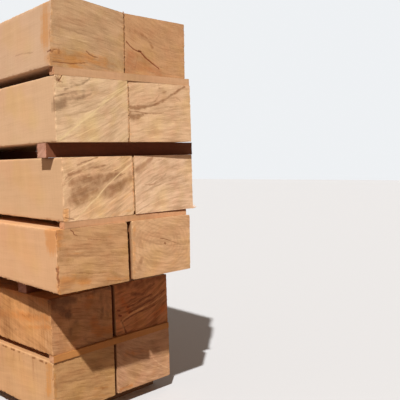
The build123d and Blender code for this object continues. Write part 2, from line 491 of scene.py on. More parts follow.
def startPiece(name, towards):
    bm = bmesh.new()
    bm.from_mesh(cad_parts[name].data)
    bmesh.ops.remove_doubles(bm, verts=bm.verts, dist=1e-5)
    bmesh.ops.dissolve_limit(bm, angle_limit=radians(0.5), verts=bm.verts, edges=bm.edges)
    axes = ownAxes(bm, towards)
    bmesh.ops.transform(bm, matrix=axes.inverted(), verts=bm.verts)
    bm.normal_update()
    for face in bm.faces:
        face.material_index = 0 if abs(face.normal.y) > 0.9 else 1
        face.smooth = True
    bends = [e for e in bm.edges if e.calc_face_angle(0) > radians(20)]
    sharp = [(e.verts[0].co.copy(), e.verts[1].co.copy()) for e in bends]
    size = Vector([max(v.co[i] for v in bm.verts) for i in range(3)])
    front = min((f for f in bm.faces if f.normal.y < -0.9), key=lambda f: f.calc_center_median().y)
    return bm, axes, sharp, size, front


# Marks for the back ends, which the photograph doesn't show: kind, strength and width in millimetres
chanceMarks = (("stain", 0.8, 30), ("stain", 0.6, 14), ("stain", 0.5, 10), ("warm", 0.6, 35), ("ray", 0.9, 8),
               ("ray", 0.6, 5), ("vein", 0.7, 5), ("crack", 0.8, 4))


def scatteredMarks(size, back, seed):
    pick = random.Random(seed)
    width, height = size.x / mm, size.z / mm
    slope = pick.uniform(-0.5, 0.5)
    marks = []
    for kind, strength, wide in chanceMarks:
        x, z = pick.uniform(0, 0.7) * width, pick.uniform(0.1, 0.9) * height
        run = pick.uniform(0.25, 0.6) * width * (0.4 if kind == "crack" else 1)
        path = [Vector(((x + run * t) * mm, back, (z + slope * run * t + pick.uniform(-4, 4)) * mm))
                for t in (0, 0.5, 1)]
        marks.append((kind, strength, wide * mm, 0.4 * wide * mm, path))
    return marks


# How finely a piece is cut, in metres apart from the number of rows at an end
beamCuts = {"endDepth": 35 * mm, "endRows": 3, "margins": (6 * mm, 13 * mm, 24 * mm), "columns": 60 * mm,
            "shownRows": 8 * mm, "hiddenRows": 20 * mm, "frontEnd": 3.4 * mm, "backEnd": 9 * mm,
            "shownSide": 10 * mm}
crossCuts = {"endDepth": 12 * mm, "endRows": 1, "margins": (4 * mm, 9 * mm), "columns": 12 * mm,
             "rows": 9 * mm, "frontEnd": 4 * mm}


# A beam: the CAD solid cut up finely at its ends and along its arrises, then worn
def sawnBeam(name, look):
    bm, axes, sharp, size, front = startPiece(name, Vector((0, 1, 0)))
    normal, middle = front.normal.copy(), front.calc_center_median()

    def frontAt(x, z):
        return middle.y - (normal.x * (x - middle.x) + normal.z * (z - middle.z)) / normal.y

    end, shown = beamCuts["endDepth"], look["shownLength"] * mm
    splitRows(bm, end, shown, beamCuts["shownRows"])
    splitRows(bm, shown, size.y - end, beamCuts["hiddenRows"])
    xs, zs = cutUp(bm, size, beamCuts)
    fineEnd(bm, -1, end, xs, zs, size, beamCuts["frontEnd"])
    fineEnd(bm, size.y - end, size.y + 1, xs, zs, size, beamCuts["backEnd"])
    if look["neighbour"] > 0:  # the side that shows has marks of its own
        bm.normal_update()
        fineSide(bm, end, shown, zs, size, beamCuts["shownSide"])

    marks = placedMarks(look, frontAt, look.get("foot", 0) * mm)
    refine(bm, marks)
    marks += scatteredMarks(size, size.y, look["seed"])
    weather(bm, look, sharp, size, marks)
    rim, crown = 1.5 * mm, size.z - 2 * mm
    lowLeft, lowRight, highRight, highLeft = (Vector((x, frontAt(x, z) + rim, z)) for x, z in (
        (rim, rim), (size.x - rim, rim), (size.x - rim, crown), (rim, crown)))
    arrises = ((lowLeft, highLeft, Vector((-1, -0.3, 0)), 0), (lowLeft, lowRight, Vector((0, -0.2, -1)), 0),
               (lowRight, highRight, Vector((1, -0.3, 0)), 0),
               (lowLeft, lowLeft + Vector((0, shown, 0)), Vector((-0.4, 0, -0.6)), 1))
    spots = [(*arris, look["splinters"], 26 * mm, 0.45, 1) for arris in arrises]
    seam = Vector((3.2, -1.2, 0)) * mm  # from the arris to the gap beside it, just behind the end
    spots.append((lowRight + seam, highRight + seam, Vector((1, -0.02, 0)), 0, look["fuzz"], 13 * mm, 3, 1.6))
    splinters(bm, look, spots)
    for foot, lean, thick in look.get("shards", ()):
        lean = Vector(lean) * mm
        bmesh.ops.create_cone(bm, cap_ends=True, segments=6, radius1=thick * mm, radius2=0.2 * thick * mm,
                              depth=lean.length, matrix=standing(Vector(foot) * mm, lean, 0.5))
    return finishPiece(bm, name, axes, look)


# A sticker or bearer: the same, more coarsely
def crossPiece(name, look):
    look = {**crossBasics, **look}
    bm, axes, sharp, size, front = startPiece(name, Vector((1, 0, 0)))
    end = crossCuts["endDepth"]
    splitRows(bm, end, size.y - end, crossCuts["rows"])
    xs, zs = cutUp(bm, size, crossCuts)
    fineEnd(bm, -1, end, xs, zs, size, crossCuts["frontEnd"])
    marks = placedMarks(look, lambda x, z: 0.0, size.x)
    weather(bm, look, sharp, size, marks)
    right, top = size.x - mm, size.z - mm
    arrises = ((Vector((mm, mm, mm)), Vector((mm, mm, top)), Vector((0, -1, 0)), 0),
               (Vector((right, mm, mm)), Vector((right, mm, top)), Vector((0, -1, 0)), 0),
               (Vector((right, mm, mm)), Vector((right, size.y, mm)), Vector((0.6, 0, 0)), 1))
    splinters(bm, look, [(*arris, look["splinters"], 20 * mm, 0.45, 1) for arris in arrises])
    return finishPiece(bm, name, axes, look)


# The beams. A mark is (strength, width at the start, width at the end, path) in millimetres:
# on an end from its low left corner, on the left side from the front end and the underside.
# stain and warm tint the wood, ray lightens it, and vein and gouge darken it and cut into it.
# inner is how strongly the face toward the neighbour beam is painted darker: painted shade for the gap
# between the beams
beamBasics = {
    "wood": paint(218, 180, 136), "contrast": 0.2, "side": paint(206, 165, 121), "sideContrast": 0.09,
    "pinkish": (1.0, 0.92, 0.9, 1), "yellowish": (0.98, 0.99, 0.84, 1), "worn": paint(226, 186, 144),
    "stain": (0.54, 0.49, 0.44, 1), "warm": (0.88, 0.66, 0.46, 1), "ray": paint(238, 207, 160),
    "darkMarksAndShade": paint(112, 58, 28), "grain": {"angle": 0, "bend": 0.0, "fan": 0.0}, "slope": 2,
    "chain": 0.07, "chainLean": 8, "saw": 0.16, "sawLean": 3, "inner": 0.0, "neighbour": 0,
    "wear": 3.5, "splinters": 7, "fuzz": 0, "shownLength": 720,
}
leftBeam = {**beamBasics, "neighbour": 1}
rightBeam = {**beamBasics, "neighbour": -1}

beamSixLeft = {
    **leftBeam, "seed": 1, "foot": 8, "shownLength": 640, "fuzz": 260,
    "wood": paint(198, 160, 119), "contrast": 0.22, "side": paint(203, 167, 133),
    "stain": (0.74, 0.72, 0.66, 1), "warm": (0.93, 0.72, 0.48, 1),
    "grain": {"angle": -9, "bend": 0.2, "fan": 0.2},
    "endMarks": {
        "warm": [(0.95, 84, 60, [(0, 44), (120, 46), (240, 50), (320, 44)]),
                 (0.75, 36, 28, [(10, 18), (150, 16), (260, 14)]), (0.45, 70, 70, [(330, 44), (450, 50)])],
        "stain": [(0.65, 80, 110, [(370, 40), (450, 70)]), (0.6, 8, 6, [(70, 60), (160, 64), (260, 52)]),
                  (0.5, 8, 6, [(30, 40), (140, 44), (300, 34)]), (0.4, 60, 40, [(50, 170), (56, 260)]),
                  (0.5, 40, 55, [(280, 150), (390, 140)]), (0.4, 25, 25, [(300, 300), (400, 290)]),
                  (0.4, 8, 6, [(60, 72), (160, 62), (250, 56)])],
        "vein": [(0.5, 6, 4, [(14, 68), (24, 80), (44, 84)]), (0.35, 9, 9, [(54, 66), (54, 84)]),
                 (0.7, 5, 4, [(216, 92), (232, 78), (256, 70), (284, 68)]),
                 (0.6, 5, 4, [(20, 22), (120, 22), (220, 34)]),
                 (0.35, 3.5, 3, [(80, 60), (150, 64), (230, 60)])],
        "ray": [(0.35, 7, 5, [(70, 160), (150, 146), (220, 140)]),
                (0.45, 5, 4, [(290, 286), (360, 272), (450, 244)]), (0.35, 5, 4, [(330, 252), (400, 234)])],
    },
    "sideMarks": {
        "warm": [(1.0, 96, 88, [(50, 140), (52, 220), (62, 320)]), (0.6, 70, 50, [(40, 110), (44, 50)])],
        "vein": [(0.85, 9, 5, [(-4, 76), (26, 72), (44, 66)]), (0.85, 10, 5, [(16, 38), (60, 38)]),
                 (0.5, 6, 5, [(60, 78), (150, 88), (280, 102), (390, 106)])],
        "stain": [(0.3, 10, 8, [(70, 45), (200, 52)])],
        "gouge": [(0.35, 6, 4, [(0, 75), (22, 72)]), (0.3, 6, 4, [(10, 38), (40, 36)]),
                  (0.7, 9, 6, [(286, 318), (316, 320)])],
    },
}
beamSixRight = {
    **rightBeam, "seed": 2, "wood": paint(200, 154, 110), "contrast": 0.17,
    "stain": (0.66, 0.56, 0.48, 1), "warm": (0.88, 0.74, 0.66, 1), "darkMarksAndShade": paint(124, 60, 26),
    "grain": {"angle": -14, "bend": -0.6, "fan": 0.3},
    "rings": {"x": 20, "z": 60, "spacing": 26, "squash": 0.8, "amount": 0.1},
    "endMarks": {
        "warm": [(1.0, 90, 90, [(0, 30), (20, 70), (40, 90)]),
                 (1.0, 70, 40, [(60, 40), (120, 60), (180, 40), (250, 20)]),
                 (0.8, 40, 30, [(60, 110), (110, 100), (150, 80)]),
                 (0.6, 14, 10, [(60, 138), (110, 126), (160, 90), (240, 48)])],
        "stain": [(0.6, 24, 18, [(40, 232), (100, 228), (150, 210), (178, 186), (196, 160)]),
                  (0.3, 7, 5, [(60, 250), (130, 238), (190, 204)]), (0.45, 16, 14, [(280, 306), (425, 300)]),
                  (0.4, 12, 12, [(386, 210), (400, 290)])],
        "vein": [(0.85, 5.5, 5, [(12, 172), (18, 166), (36, 150), (58, 137), (98, 126)]),
                 (0.9, 10, 8, [(98, 129), (112, 125)]),
                 (0.95, 6.5, 4.5, [(110, 124), (140, 100), (160, 88), (200, 66), (240, 46)]),
                 (0.5, 7, 6, [(146, 98), (166, 86)]), (0.35, 4, 3, [(88, 100), (76, 60), (62, 6)])],
        "gouge": [(0.8, 5, 4, [(100, 127), (112, 123)])],
        "ray": [(0.35, 6, 5, [(146, 92), (200, 58), (240, 36)])],
    },
}
beamFiveLeft = {
    **leftBeam, "seed": 3, "fuzz": 220, "wood": paint(220, 186, 146), "contrast": 0.25,
    "side": paint(212, 174, 135), "stain": (0.5, 0.45, 0.41, 1), "ray": paint(240, 212, 158),
    "yellowish": (0.97, 1.0, 0.8, 1), "grain": {"angle": 20, "bend": -0.35, "fan": 1.1},
    "endMarks": {
        "stain": [(1.0, 70, 46, [(6, 184), (20, 186), (50, 198)]),
                  (0.8, 34, 16, [(30, 206), (120, 224), (210, 244)]),
                  (0.85, 12, 8, [(0, 224), (60, 238), (120, 256), (180, 266)]),
                  (0.75, 17, 12, [(60, 262), (110, 284), (170, 302), (200, 318)]),
                  (0.65, 22, 14, [(70, 236), (150, 256), (250, 268)]), (0.5, 30, 22, [(96, 292), (180, 314)]),
                  (0.6, 9, 7, [(110, 312), (150, 326)]), (0.5, 9, 7, [(70, 190), (110, 198), (150, 216)]),
                  (0.5, 5, 4, [(150, 262), (230, 274), (330, 292)]),
                  (0.5, 5, 4, [(90, 190), (160, 196), (220, 218)]),
                  (0.45, 5, 4, [(250, 210), (290, 224), (330, 250)]),
                  (0.4, 6, 4, [(110, 22), (220, 45), (330, 62)]),
                  (0.35, 6, 4, [(290, 116), (350, 134), (430, 160)]), (0.3, 30, 22, [(330, 90), (430, 110)])],
        "ray": [(0.4, 34, 26, [(20, 14), (120, 80), (220, 156), (330, 232), (440, 300)]),
                (0.95, 7, 5, [(14, 4), (70, 44), (160, 110), (220, 150), (300, 214), (350, 246), (440, 300)]),
                (0.5, 5, 4, [(90, 8), (150, 44), (190, 62), (250, 100)]),
                (0.6, 4, 3, [(235, 305), (340, 326)]), (0.4, 26, 18, [(190, 180), (250, 210)]),
                (0.55, 12, 8, [(-2, 268), (40, 266), (60, 282)])],
        "warm": [(0.5, 30, 26, [(8, 300), (30, 320)])],
        "vein": [(0.75, 12, 10, [(16, 306), (28, 300)]), (0.6, 5, 3, [(8, 322), (20, 308), (46, 292)]),
                 (0.5, 4, 3, [(20, 330), (24, 300), (12, 284)])],
        "gouge": [(0.7, 5, 3, [(26, 300), (44, 326)])],
    },
    "sideMarks": {
        "warm": [(0.45, 9, 7, [(0, 276), (110, 276)])],
        "stain": [(0.4, 26, 18, [(-4, 190), (6, 182)])],
    },
}
beamFiveRight = {
    **rightBeam, "seed": 4, "wood": paint(216, 178, 138), "contrast": 0.26, "stain": (0.56, 0.47, 0.4, 1),
    "ray": paint(238, 204, 152), "darkMarksAndShade": paint(130, 78, 42), "grain": {"angle": 8, "bend": 0.25, "fan": -0.3},
    "endMarks": {
        "stain": [(1.0, 28, 20, [(10, 190), (60, 186), (110, 192)]),
                  (1.0, 50, 16, [(10, 140), (46, 136), (92, 150)]),
                  (0.9, 7, 5, [(6, 166), (60, 165), (110, 158), (170, 158), (238, 166)]),
                  (1.0, 17, 13, [(60, 196), (150, 200), (205, 218), (262, 248), (305, 268), (350, 294),
                                 (402, 322)]),
                  (0.7, 10, 8, [(96, 186), (130, 200), (190, 236), (216, 262)]),
                  (0.5, 16, 10, [(60, 212), (120, 236), (170, 250)]), (0.6, 14, 10, [(215, 300), (240, 306)]),
                  (0.5, 9, 7, [(276, 250), (300, 258), (340, 262)]), (0.75, 24, 12, [(240, 282), (262, 290)]),
                  (0.6, 13, 8, [(340, 296), (376, 306)]), (0.55, 9, 6, [(335, 254), (356, 248), (362, 236)]),
                  (0.5, 9, 6, [(280, 198), (310, 200)]), (0.5, 8, 6, [(272, 156), (300, 154)]),
                  (0.5, 5, 4, [(95, 330), (200, 330)]), (0.5, 5, 4, [(110, 268), (160, 294), (216, 326)]),
                  (0.4, 5, 4, [(245, 224), (300, 234), (400, 236)]),
                  (0.35, 5, 4, [(120, 216), (190, 240), (240, 262)])],
        "vein": [(0.45, 4.5, 4, [(10, 166), (60, 165), (110, 158), (170, 158)]),
                 (0.45, 4, 3, [(170, 208), (205, 224), (252, 244)]), (0.4, 5, 4, [(320, 280), (364, 304)])],
        "ray": [(0.45, 30, 18, [(210, 84), (300, 112), (350, 130)]),
                (0.55, 5, 4, [(60, 64), (150, 70), (210, 86), (270, 92)]),
                (0.5, 5, 4, [(30, 24), (120, 28), (220, 24)]),
                (0.5, 4, 3, [(120, 272), (170, 300), (210, 330)])],
        "warm": [(0.45, 16, 14, [(4, 20), (2, 90)])],
    },
}
beamFourLeft = {
    **leftBeam, "seed": 5, "wear": 4, "fuzz": 300, "wood": paint(222, 182, 140), "contrast": 0.3,
    "side": paint(208, 168, 127), "stain": (0.52, 0.43, 0.36, 1), "ray": paint(238, 206, 156),
    "warm": (0.96, 0.78, 0.56, 1), "grain": {"angle": 22, "bend": -0.25, "fan": 0.7},
    "endMarks": {
        "stain": [(0.88, 92, 76, [(84, 142), (150, 164), (230, 190)]),
                  (0.88, 60, 44, [(60, 196), (150, 214), (260, 222)]),
                  (0.88, 56, 36, [(250, 206), (320, 220), (360, 226)]),
                  (0.88, 70, 56, [(270, 136), (340, 160), (430, 204)]),
                  (0.88, 76, 56, [(60, 112), (92, 104), (140, 122)]), (0.7, 30, 20, [(90, 88), (200, 116)]),
                  (0.6, 34, 26, [(60, 252), (140, 276), (200, 290)]),
                  (0.85, 22, 12, [(40, 240), (110, 258), (190, 272), (270, 282)]),
                  (0.9, 13, 7, [(96, 288), (150, 306), (220, 326)]),
                  (0.75, 8, 5, [(220, 268), (300, 288), (380, 322)]),
                  (0.7, 7, 5, [(330, 250), (380, 262), (430, 284)]),
                  (0.6, 8, 5, [(14, 214), (40, 240), (70, 252)]),
                  (0.55, 9, 6, [(70, 80), (130, 96), (200, 118)]), (0.4, 8, 5, [(300, 24), (420, 50)])],
        "ray": [(0.95, 7, 5, [(66, 6), (112, 40), (160, 80), (205, 112), (262, 164), (320, 206), (370, 240),
                              (440, 282)]),
                (0.75, 5, 3, [(20, 196), (60, 222), (100, 240)]),
                (0.8, 5, 4, [(56, 258), (120, 284), (200, 318)]),
                (0.75, 4, 3, [(120, 256), (190, 284), (270, 318)]),
                (0.7, 4, 3, [(196, 244), (260, 262), (330, 300)]),
                (0.6, 4, 3, [(150, 226), (220, 238), (300, 250), (360, 262)]),
                (0.4, 18, 12, [(300, 300), (400, 318)]), (0.5, 14, 12, [(14, 120), (10, 230), (20, 300)]),
                (0.5, 4, 3, [(310, 40), (370, 72), (440, 104)]),
                (0.35, 30, 22, [(250, 60), (340, 92), (430, 122)])],
        "warm": [(0.5, 34, 26, [(220, 34), (320, 74), (430, 116)]), (0.6, 24, 14, [(300, 10), (430, 26)]),
                 (1.0, 30, 28, [(10, 6), (14, 54)])],
        "vein": [(0.45, 4, 4, [(36, 66), (34, 34), (30, 8)]), (0.35, 5, 4, [(2, 66), (30, 68)]),
                 (0.7, 4, 3, [(116, 298), (150, 310)]), (0.6, 4, 3, [(236, 254), (264, 266)]),
                 (0.6, 4, 3, [(366, 222), (398, 234)])],
        "gouge": [(0.45, 6, 5, [(8, 22), (30, 14), (60, 6)])],
    },
    "sideMarks": {
        "warm": [(0.9, 22, 18, [(2, 8), (4, 60)]), (0.3, 22, 26, [(430, 38), (620, 36)])],
        "gouge": [(0.4, 6, 5, [(4, 12), (16, 26)])],
        "stain": [(0.3, 6, 5, [(12, 230), (14, 270)])],
    },
}
beamFourRight = {
    **rightBeam, "seed": 6, "wood": paint(222, 185, 148), "contrast": 0.31, "stain": (0.66, 0.56, 0.5, 1),
    "ray": paint(236, 204, 158), "grain": {"angle": 15, "bend": 0.5, "fan": -0.8},
    "endMarks": {
        "stain": [(1.0, 44, 24, [(24, 250), (75, 278), (130, 312)]),
                  (0.6, 14, 10, [(130, 284), (160, 298), (200, 308)]),
                  (0.5, 10, 8, [(250, 262), (300, 282), (330, 300)]),
                  (0.55, 20, 14, [(180, 186), (280, 196), (400, 206)]),
                  (0.85, 9, 6, [(70, 162), (130, 164), (180, 186), (235, 222)]),
                  (0.8, 8, 5, [(140, 164), (180, 176), (230, 214)]), (0.8, 7, 5, [(230, 156), (330, 166)]),
                  (0.45, 14, 10, [(150, 192), (260, 200), (330, 204)]),
                  (0.45, 5, 4, [(60, 200), (130, 214), (230, 216)]), (0.4, 5, 4, [(130, 290), (190, 310)]),
                  (0.35, 16, 12, [(380, 10), (430, 40)])],
        "ray": [(0.45, 5, 4, [(20, 130), (80, 170), (140, 214), (200, 268)]),
                (0.4, 4, 3, [(150, 164), (210, 190), (270, 226)]), (0.45, 24, 16, [(80, 16), (180, 30)]),
                (0.3, 14, 12, [(12, 200), (10, 300)])],
    },
    "shards": [((434, 2, 6), (26, -2, 3), 5), ((437, 3, 14), (14, -2, 8), 3), ((430, 3, 3), (20, -1, 6), 3)],
}
beamThreeLeft = {
    **leftBeam, "seed": 7, "wear": 5, "inner": 1.0, "wood": paint(194, 149, 104), "contrast": 0.28,
    "side": paint(213, 167, 124), "stain": (0.76, 0.74, 0.64, 1), "warm": (0.94, 0.76, 0.55, 1),
    "darkMarksAndShade": paint(118, 62, 30), "grain": {"angle": -7, "bend": 0.1, "fan": 0.1},
    "endMarks": {
        "warm": [(0.9, 70, 40, [(20, 50), (100, 70), (180, 40)]), (0.7, 40, 30, [(300, 30), (430, 24)]),
                 (0.6, 34, 20, [(-4, 230), (0, 320)]), (0.45, 14, 12, [(200, 268), (330, 262)]),
                 (0.4, 18, 14, [(60, 200), (200, 192), (280, 178)])],
        "stain": [(0.8, 22, 18, [(24, 232), (60, 226)]), (0.7, 24, 18, [(20, 174), (90, 165)]),
                  (0.7, 20, 16, [(110, 98), (220, 80), (330, 70)]), (0.7, 26, 20, [(50, 290), (80, 275)]),
                  (0.7, 28, 22, [(320, 60), (390, 40)]), (0.6, 30, 26, [(250, 14), (430, 8)])],
        "vein": [(0.35, 3.5, 3, [(20, 226), (130, 218), (230, 206), (420, 190)]),
                 (0.55, 3.5, 3, [(186, 264), (240, 254), (305, 244)]),
                 (0.4, 4, 3, [(110, 100), (200, 78), (300, 70)]),
                 (0.5, 4, 3, [(300, 26), (360, 14), (420, 12)]),
                 (0.8, 5, 3, [(86, 322), (100, 310), (104, 296), (122, 290)])],
        "ray": [(0.35, 4, 3, [(120, 268), (220, 256), (330, 244)]),
                (0.35, 4, 3, [(30, 214), (140, 206), (200, 204)]),
                (0.35, 4, 3, [(180, 46), (280, 30), (360, 20)])],
        "gouge": [(0.55, 6, 8, [(-4, 40), (4, 66)]), (0.6, 7, 5, [(-4, 100), (2, 136)]),
                  (0.4, 7, 5, [(0, 286), (2, 306)])],
    },
    "sideMarks": {
        "warm": [(1.5, 112, 104, [(50, 322), (54, 262)]), (1.0, 26, 20, [(0, 8), (6, 60), (6, 140)])],
        "vein": [(0.8, 15, 12, [(-2, 64), (10, 84), (2, 104)]), (0.85, 14, 10, [(-2, 116), (16, 132)]),
                 (0.6, 10, 8, [(-2, 50), (8, 40)]), (0.5, 10, 7, [(0, 22), (14, 8)])],
        "gouge": [(0.8, 14, 11, [(-2, 132), (14, 120)]), (0.6, 10, 8, [(0, 100), (8, 90)]),
                  (0.7, 13, 10, [(-2, 72), (8, 60)]), (0.5, 10, 8, [(0, 312), (6, 300)]),
                  (0.45, 7, 5, [(0, 46), (4, 8)])],
        "ray": [(0.6, 9, 5, [(276, 36), (300, 28)])],
    },
}
beamThreeRight = {
    **rightBeam, "seed": 8, "inner": 1.0, "wood": paint(212, 168, 124), "contrast": 0.24,
    "stain": (0.66, 0.6, 0.54, 1), "warm": (0.96, 0.74, 0.5, 1), "darkMarksAndShade": paint(126, 72, 36),
    "grain": {"angle": -12, "bend": -0.5, "fan": 0.2},
    "rings": {"x": 230, "z": 178, "spacing": 27, "squash": 0.72, "amount": 0.2},
    "endMarks": {
        "warm": [(0.6, 30, 26, [(4, 30), (4, 150), (8, 280)])],
        "stain": [(0.6, 34, 26, [(50, 200), (46, 270)]), (0.5, 26, 22, [(48, 50), (50, 100)]),
                  (0.9, 9, 9, [(230, 180), (236, 176)]), (0.7, 30, 24, [(40, 60), (60, 110)]),
                  (0.9, 6, 6, [(196, 213), (240, 203), (270, 190), (305, 178), (350, 160)]),
                  (0.5, 6, 5, [(100, 160), (112, 140), (120, 120), (150, 100)]),
                  (0.5, 8, 6, [(136, 166), (134, 140)]), (0.5, 7, 6, [(60, 74), (90, 50), (120, 34)]),
                  (0.45, 7, 6, [(84, 110), (110, 80), (140, 60)]),
                  (0.35, 6, 5, [(330, 100), (370, 130), (392, 160)]),
                  (0.35, 6, 5, [(60, 262), (140, 246), (200, 250)])],
        "vein": [(0.75, 9, 9, [(230, 180), (236, 176)]),
                 (0.75, 4, 3.5, [(200, 212), (234, 204), (252, 198), (276, 188)])],
        "ray": [(0.4, 4, 3, [(200, 190), (240, 192), (262, 178), (240, 160), (206, 168)]),
                (0.4, 10, 8, [(421, 20), (424, 300)])],
    },
}
beamTwoLeft = {
    **leftBeam, "seed": 9, "inner": 1.0, "wood": paint(183, 133, 90), "contrast": 0.34,
    "side": paint(190, 137, 87), "sideContrast": 0.5, "slope": -12, "chain": 0.12,
    "stain": (0.4, 0.37, 0.36, 1), "warm": (0.94, 0.74, 0.52, 1), "ray": paint(214, 168, 122),
    "grain": {"angle": -14, "bend": 0.2, "fan": 0.1},
    "endMarks": {
        "stain": [(0.8, 70, 60, [(120, 334), (440, 334)]), (1.0, 90, 80, [(0, 320), (90, 306), (150, 310)]),
                  (1.0, 80, 56, [(40, 300), (104, 226)]), (0.8, 46, 40, [(132, 310), (126, 214)]),
                  (0.75, 24, 20, [(34, 256), (100, 204)]), (0.6, 54, 40, [(356, 330), (360, 150)]),
                  (0.5, 40, 34, [(404, 320), (404, 130)]), (0.6, 60, 40, [(150, 150), (120, 90)]),
                  (0.45, 40, 30, [(220, 60), (240, 20)])],
        "warm": [(1.0, 80, 60, [(300, 120), (330, 60)]), (1.0, 70, 60, [(360, 60), (430, 50)]),
                 (0.8, 70, 60, [(260, 240), (280, 300)])],
        "ray": [(0.4, 14, 10, [(8, 40), (10, 110)]), (0.4, 10, 8, [(20, 180), (70, 110), (130, 20)])],
    },
    "sideMarks": {
        # the first warm stroke is painted shade: it darkens the top band of the side, where the middle
        # bundle's overhang casts its shadow
        "warm": [(0.9, 70, 60, [(0, 312), (300, 330), (640, 346)]),
                 (0.8, 46, 70, [(40, 220), (260, 190), (440, 170), (640, 150)]),
                 (0.7, 34, 26, [(20, 170), (160, 140), (320, 110)])],
        "ray": [(0.6, 80, 60, [(30, 40), (40, 100)]), (0.4, 50, 30, [(120, 30), (420, 24)])],
        "stain": [(0.42, 26, 20, [(100, 236), (240, 196), (330, 186)]),
                  (0.4, 26, 30, [(300, 240), (460, 220), (640, 180)]),
                  (0.38, 22, 18, [(260, 120), (420, 80), (640, 60)]),
                  (0.36, 20, 16, [(60, 150), (160, 120), (260, 90)])],
    },
}
beamTwoRight = {
    **rightBeam, "seed": 10, "inner": 1.0, "wood": paint(187, 124, 79), "contrast": 0.52,
    "stain": (0.42, 0.35, 0.31, 1), "ray": paint(232, 172, 118), "warm": (0.98, 0.72, 0.5, 1),
    "darkMarksAndShade": paint(110, 40, 16), "grain": {"angle": 18, "bend": -0.6, "fan": 0.5},
    "endMarks": {
        "ray": [(0.8, 11, 9, [(44, 84), (80, 104), (130, 120), (230, 140), (300, 152), (360, 172),
                              (430, 202)]),
                (0.6, 12, 10, [(40, 76), (60, 60), (64, 20)]),
                (0.6, 10, 8, [(190, 172), (250, 186), (330, 204), (400, 236)])],
        "stain": [(1.0, 15, 13, [(110, 130), (170, 146), (240, 164), (320, 184), (420, 222)]),
                  (1.0, 12, 10, [(66, 84), (110, 104), (180, 116), (260, 126), (330, 140)]),
                  (1.0, 12, 10, [(96, 172), (150, 178), (210, 196), (300, 216)]),
                  (0.8, 60, 50, [(30, 320), (200, 310), (430, 320)]),
                  (0.85, 30, 16, [(140, 250), (230, 230), (300, 280)]),
                  (0.8, 12, 8, [(250, 226), (280, 250), (330, 284)]), (0.5, 40, 30, [(60, 310), (300, 318)]),
                  (1.0, 16, 12, [(44, 96), (60, 60), (80, 6)])],
        "warm": [(0.8, 50, 40, [(60, 220), (110, 130)]), (0.8, 60, 50, [(330, 70), (410, 110)]),
                 (0.5, 30, 26, [(20, 40), (24, 100)])],
        "vein": [(0.75, 10, 9, [(20, 164), (36, 160)]), (0.9, 10, 9, [(30, 130), (46, 124)])],
    },
}
# On its left side: blots under the top arris, drips below them, and small checks and flecks
blots = ((68, 14, 10), (106, 44, 15), (190, 42, 14), (268, 12, 9), (322, 14, 9), (370, 28, 13),
         (438, 48, 17), (534, 60, 15))
drips = ((134, 240, 0.6), (176, 262, 0.5), (212, 250, 0.7), (222, 168, 0.9), (382, 252, 0.7),
         (448, 252, 0.7), (486, 276, 0.5), (548, 254, 0.6))
checks = ((72, 8), (118, 26), (206, 18), (378, 10), (444, 14), (470, 12), (546, 12), (580, 10))
flecks = ((380, 264), (444, 254), (326, 270), (214, 268))
beamOneLeft = {
    **leftBeam, "seed": 11, "inner": 1.0, "wood": paint(185, 141, 93), "contrast": 0.3,
    "side": paint(199, 154, 109), "sideContrast": 0.18, "slope": 5,
    "stain": (0.74, 0.64, 0.56, 1), "warm": (0.96, 0.78, 0.52, 1), "darkMarksAndShade": paint(126, 76, 34),
    "grain": {"angle": -9, "bend": 0.1, "fan": 0.1},
    "endMarks": {
        "warm": [(0.6, 26, 24, [(6, 120), (8, 260)]), (0.6, 22, 16, [(290, 96), (380, 70)]),
                 (0.5, 20, 16, [(280, 40), (400, 20)])],
        "stain": [(0.7, 7, 5, [(195, 240), (212, 232), (226, 236)]), (0.7, 26, 18, [(330, 84), (380, 62)]),
                  (0.6, 4, 3, [(200, 82), (290, 74)]), (0.5, 5, 4, [(40, 236), (120, 214), (200, 205)]),
                  (0.6, 6, 5, [(160, 156), (240, 142), (330, 116)]),
                  (0.5, 6, 4, [(100, 112), (200, 94), (300, 70)]), (0.4, 30, 24, [(60, 130), (180, 110)])],
        "ray": [(0.3, 5, 4, [(300, 150), (420, 130)])],
    },
    "sideMarks": {
        "warm": [(0.9, 62, 54, [(42, 300), (60, 130)])],
        "stain": [*((1.0, wide, 0.7 * wide, [(y, 316), (y + run, 312)]) for y, run, wide in blots),
                  *((strength, 12, 9, [(y, 302), (y + 3, low)]) for y, low, strength in drips),
                  (0.4, 10, 8, [(4, 140), (10, 110)])],
        "vein": [*((0.8, 10, 8, [(y, 316), (y + run, 313)]) for y, run in checks),
                 *((0.35, 8, 6, [(y, z), (y + 12, z - 3)]) for y, z in flecks)],
        "gouge": [(0.6, 10, 7, [(-2, 240), (12, 228)]), (0.4, 9, 7, [(-2, 210), (6, 180)])],
    },
}
beamOneRight = {
    **rightBeam, "seed": 12, "inner": 1.0, "wood": paint(190, 145, 108), "contrast": 0.34,
    "stain": (0.72, 0.62, 0.54, 1), "ray": paint(226, 186, 142), "warm": (0.97, 0.74, 0.5, 1),
    "grain": {"angle": -18, "bend": -0.8, "fan": -0.6},
    "endMarks": {
        "ray": [(0.7, 8, 6, [(296, 150), (340, 110), (380, 78), (440, 44)]),
                (0.6, 6, 5, [(250, 130), (330, 80), (430, 24)]), (0.5, 8, 6, [(380, 170), (440, 120)]),
                (0.6, 9, 7, [(200, 20), (430, 14)]), (0.4, 16, 12, [(200, 100), (280, 60)]),
                (0.5, 14, 10, [(0, 60), (-2, 180)])],
        "stain": [(0.8, 6, 5, [(200, 66), (240, 44), (300, 22)]),
                  (0.6, 6, 5, [(160, 88), (220, 52), (270, 34)]),
                  (0.6, 6, 5, [(290, 124), (360, 70), (420, 36)]), (0.5, 6, 5, [(330, 130), (390, 84)]),
                  (0.7, 40, 30, [(30, 300), (120, 290)])],
        "warm": [(0.9, 24, 22, [(26, 22), (110, 20)]), (0.6, 50, 40, [(70, 240), (250, 215)])],
        "vein": [(0.5, 8, 6, [(70, 30), (84, 36)])],
    },
}
